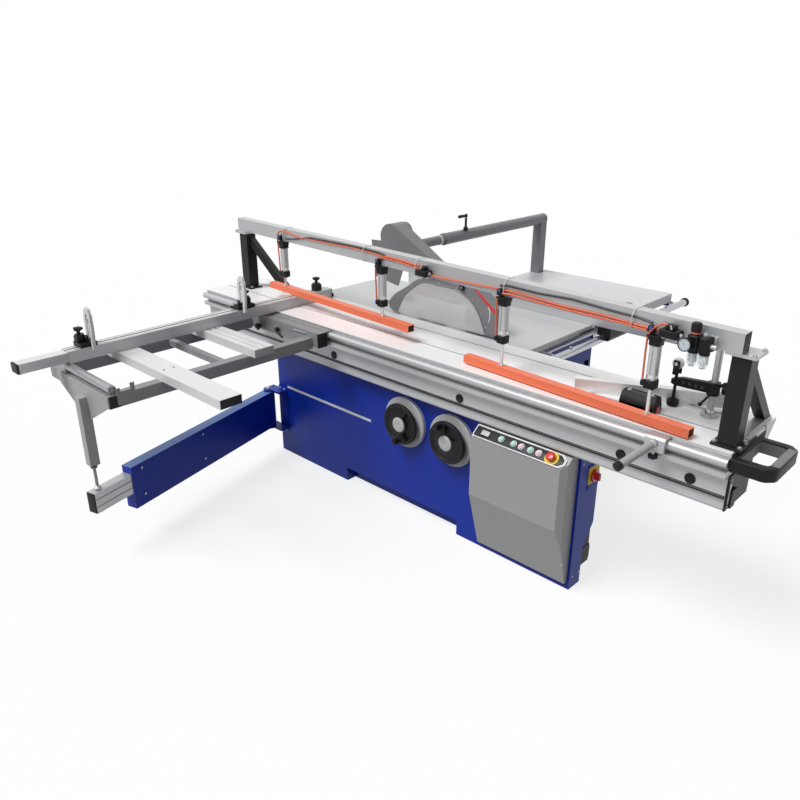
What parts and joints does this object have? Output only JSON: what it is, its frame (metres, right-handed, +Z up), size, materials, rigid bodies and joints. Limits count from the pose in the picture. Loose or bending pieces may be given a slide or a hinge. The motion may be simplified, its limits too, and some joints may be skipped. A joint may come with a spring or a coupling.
{
  "type": "sliding table saw",
  "caption": "Panel saw with a tilting blade unit in a sheet-metal cabinet, a long sliding table, outrigger with crosscut fence, air-driven pressure beam, overhead guard and rip fence.",
  "frame": {"origin": "on the floor under the cabinet, in the blade's plane", "axes": "+X along the sliding table towards its push handle, +Y from the handwheels towards the rip fence, +Z up"},
  "size_m": [3.291, 3.264, 1.37],
  "materials": {
    "blue_paint": "semi-gloss",
    "table_iron": "ground",
    "steel": "ground",
    "grey_paint": "semi-gloss",
    "aluminium": "anodised",
    "black_plastic": "satin",
    "panel_black": "gloss",
    "unit_iron": "painted",
    "mid_paint": "satin",
    "chrome": "polished",
    "green_plastic": "gloss",
    "red_plastic": "gloss",
    "rubber": "matte",
    "clear": "clear",
    "dark_paint": "satin",
    "hose": "smooth",
    "orange": "painted",
    "white_plastic": "satin"
  },
  "bodies": {
    "machine": {"cabinet": "blue_paint", "main_table": "table_iron", "table_insert": "steel", "extension_table": "grey_paint", "base_beam": "aluminium", "plastic_trim": "black_plastic", "control_box": "grey_paint", "control_panel": "panel_black", "wheel_collars": "aluminium", "trunnion_segments": "unit_iron", "guard_post": "mid_paint", "fence_rail": "chrome"},
    "door": {"rear_door": "blue_paint"},
    "start_main": {"button_1": "green_plastic"},
    "start_scoring": {"button_2": "green_plastic"},
    "stop_saw": {"button_3": "red_plastic"},
    "raise_beam": {"button_4": "green_plastic"},
    "stop_air": {"button_5": "red_plastic"},
    "estop": {"estop_button": "red_plastic"},
    "switch": {"main_switch": "red_plastic"},
    "rise_wheel": {"rise_wheel": "black_plastic"},
    "tilt_wheel": {"tilt_wheel": "black_plastic"},
    "tilt": {"saw_frame": "unit_iron"},
    "lift": {"lift_unit": "unit_iron", "motor": "mid_paint", "drive_belt": "rubber", "riving_knife": "steel"},
    "blade": {"arbor": "steel", "main_blade": "steel"},
    "pulley": {"motor_pulley": "steel"},
    "scoring": {"scoring_unit": "unit_iron"},
    "scoring_blade": {"scoring_spindle": "steel"},
    "guard_arm": {"guard_arm": "mid_paint"},
    "hood": {"hood": "mid_paint", "hood_window": "clear"},
    "rip": {"rip_fence": "aluminium", "rip_carrier": "black_plastic"},
    "swing_arm": {"swing_arm": "blue_paint"},
    "slider": {"arm_slider": "aluminium"},
    "carriage": {"carriage": "aluminium", "push_handle": "black_plastic", "beam_posts": "dark_paint", "pressure_beam": "aluminium", "air_cylinders": "aluminium", "air_unit": "black_plastic", "air_hoses": "hose", "outrigger": "grey_paint", "support_leg": "grey_paint", "carriage_fittings": "aluminium"},
    "bar_left": {"bar_left": "orange"},
    "bar_right": {"bar_right": "orange"},
    "roller": {"outrigger_roller": "aluminium"},
    "crosscut": {"crosscut_fence": "aluminium"},
    "extension": {"fence_extension": "aluminium"},
    "stop_outer": {"stop_block_outer": "black_plastic"},
    "flap_outer": {"stop_flap_outer": "white_plastic"},
    "stop_inner": {"stop_block_inner": "black_plastic"},
    "flap_inner": {"stop_flap_inner": "white_plastic"},
    "hold_down": {"hold_down_arm": "dark_paint"},
    "grip": {"grab_handle": "aluminium"}
  },
  "joints": [
    {"name": "door_hinge", "type": "hinge", "parent": "machine", "child": "door", "pos_m": [-0.508, 0.609, 0.4], "axis": [0, 0, 1], "range_deg": [0, 110]},
    {"name": "start_main_press", "type": "slide", "parent": "machine", "child": "start_main", "axis": [0, 0.6402, -0.7682], "range_m": [0, 0.004], "stiffness_N_per_m": 600, "springref_m": -0.001},
    {"name": "start_scoring_press", "type": "slide", "parent": "machine", "child": "start_scoring", "axis": [0, 0.6402, -0.7682], "range_m": [0, 0.004], "stiffness_N_per_m": 600, "springref_m": -0.001},
    {"name": "stop_saw_press", "type": "slide", "parent": "machine", "child": "stop_saw", "axis": [0, 0.6402, -0.7682], "range_m": [0, 0.004], "stiffness_N_per_m": 600, "springref_m": -0.001},
    {"name": "raise_beam_press", "type": "slide", "parent": "machine", "child": "raise_beam", "axis": [0, 0.6402, -0.7682], "range_m": [0, 0.004], "stiffness_N_per_m": 600, "springref_m": -0.001},
    {"name": "stop_air_press", "type": "slide", "parent": "machine", "child": "stop_air", "axis": [0, 0.6402, -0.7682], "range_m": [0, 0.004], "stiffness_N_per_m": 600, "springref_m": -0.001},
    {"name": "estop_press", "type": "slide", "parent": "machine", "child": "estop", "axis": [0, 0.6402, -0.7682], "range_m": [0, 0.006]},
    {"name": "switch_turn", "type": "hinge", "parent": "machine", "child": "switch", "pos_m": [1.037, -0.27, 0.525], "axis": [1, 0, 0], "range_deg": [0, 90]},
    {"name": "rise_wheel_turn", "type": "hinge", "parent": "machine", "child": "rise_wheel", "pos_m": [0.064, -0.42, 0.501], "axis": [0, 1, 0], "range_deg": [-2700, 6750]},
    {"name": "tilt_wheel_turn", "type": "hinge", "parent": "machine", "child": "tilt_wheel", "pos_m": [0.363, -0.42, 0.501], "axis": [0, 1, 0], "range_deg": [0, 8100]},
    {"name": "saw_tilt", "type": "hinge", "parent": "machine", "child": "tilt", "pos_m": [0, 0, 0.9], "axis": [-1, 0, 0], "range_deg": [0, 45]},
    {"name": "saw_lift", "type": "slide", "parent": "tilt", "child": "lift", "axis": [0, 0, 1], "range_m": [-0.03, 0.075]},
    {"name": "blade_spin", "type": "hinge", "parent": "lift", "child": "blade", "pos_m": [-0.07, 0, 0.7675], "axis": [0, 1, 0], "continuous": true},
    {"name": "motor_spin", "type": "hinge", "parent": "lift", "child": "pulley", "pos_m": [-0.07, 0, 0.5325], "axis": [0, 1, 0], "continuous": true},
    {"name": "scoring_rise", "type": "slide", "parent": "tilt", "child": "scoring", "axis": [0, 0, 1], "range_m": [0, 0.008]},
    {"name": "scoring_spin", "type": "hinge", "parent": "scoring", "child": "scoring_blade", "pos_m": [0.162, 0, 0.835], "axis": [0, 1, 0], "continuous": true},
    {"name": "guard_shift", "type": "slide", "parent": "machine", "child": "guard_arm", "axis": [0, 1, 0], "range_m": [0, 0.02]},
    {"name": "hood_lift", "type": "hinge", "parent": "guard_arm", "child": "hood", "pos_m": [-0.35, 0, 1.24], "axis": [0, -1, 0], "range_deg": [0, 22]},
    {"name": "rip_slide", "type": "slide", "parent": "machine", "child": "rip", "axis": [0, 1, 0], "range_m": [-0.4, 0.7]},
    {"name": "arm_swing", "type": "hinge", "parent": "machine", "child": "swing_arm", "pos_m": [-0.985, -0.44, 0.278], "axis": [0, 0, 1], "range_deg": [-62, 43]},
    {"name": "arm_extend", "type": "slide", "parent": "swing_arm", "child": "slider", "axis": [0.264, -0.9645, 0], "range_m": [0, 0.95]},
    {"name": "carriage_slide", "type": "slide", "parent": "machine", "child": "carriage", "axis": [1, 0, 0], "range_m": [-1.5, 1.5]},
    {"name": "bar_left_drop", "type": "slide", "parent": "carriage", "child": "bar_left", "axis": [0, 0, 1], "range_m": [0, 0.04]},
    {"name": "bar_right_drop", "type": "slide", "parent": "carriage", "child": "bar_right", "axis": [0, 0, 1], "range_m": [-0.004, 0.09]},
    {"name": "roller_spin", "type": "hinge", "parent": "carriage", "child": "roller", "pos_m": [-0.65, -1.598, 0.8802], "axis": [1, 0, 0], "continuous": true},
    {"name": "fence_turn", "type": "hinge", "parent": "carriage", "child": "crosscut", "pos_m": [-0.855, -0.154, 0.93], "axis": [0, 0, 1], "range_deg": [0, 35]},
    {"name": "fence_extend", "type": "slide", "parent": "crosscut", "child": "extension", "axis": [0, -1, 0], "range_m": [-0.18, 0.9]},
    {"name": "stop_outer_slide", "type": "slide", "parent": "crosscut", "child": "stop_outer", "axis": [0, 1, 0], "range_m": [-0.03, 0.35]},
    {"name": "stop_inner_slide", "type": "slide", "parent": "crosscut", "child": "stop_inner", "axis": [0, 1, 0], "range_m": [-0.35, 0.2]},
    {"name": "flap_outer_turn", "type": "hinge", "parent": "stop_outer", "child": "flap_outer", "pos_m": [-0.839, -1.49, 0.997], "axis": [0, -1, 0], "range_deg": [0, 100]},
    {"name": "flap_inner_turn", "type": "hinge", "parent": "stop_inner", "child": "flap_inner", "pos_m": [-0.839, -0.68, 0.997], "axis": [0, -1, 0], "range_deg": [0, 100]},
    {"name": "hold_down_rise", "type": "slide", "parent": "carriage", "child": "hold_down", "axis": [0, 0, 1], "range_m": [-0.002, 0.12]},
    {"name": "grip_slide", "type": "slide", "parent": "carriage", "child": "grip", "axis": [1, 0, 0], "range_m": [-0.9, 0.14]}
  ],
  "couplings": [
    {"joint": "saw_lift", "follows": "rise_wheel_turn", "m_per_rad": 0.00063662},
    {"joint": "saw_tilt", "follows": "tilt_wheel_turn", "ratio": 0.0055556},
    {"joint": "motor_spin", "follows": "blade_spin", "ratio": 0.63636}
  ]
}
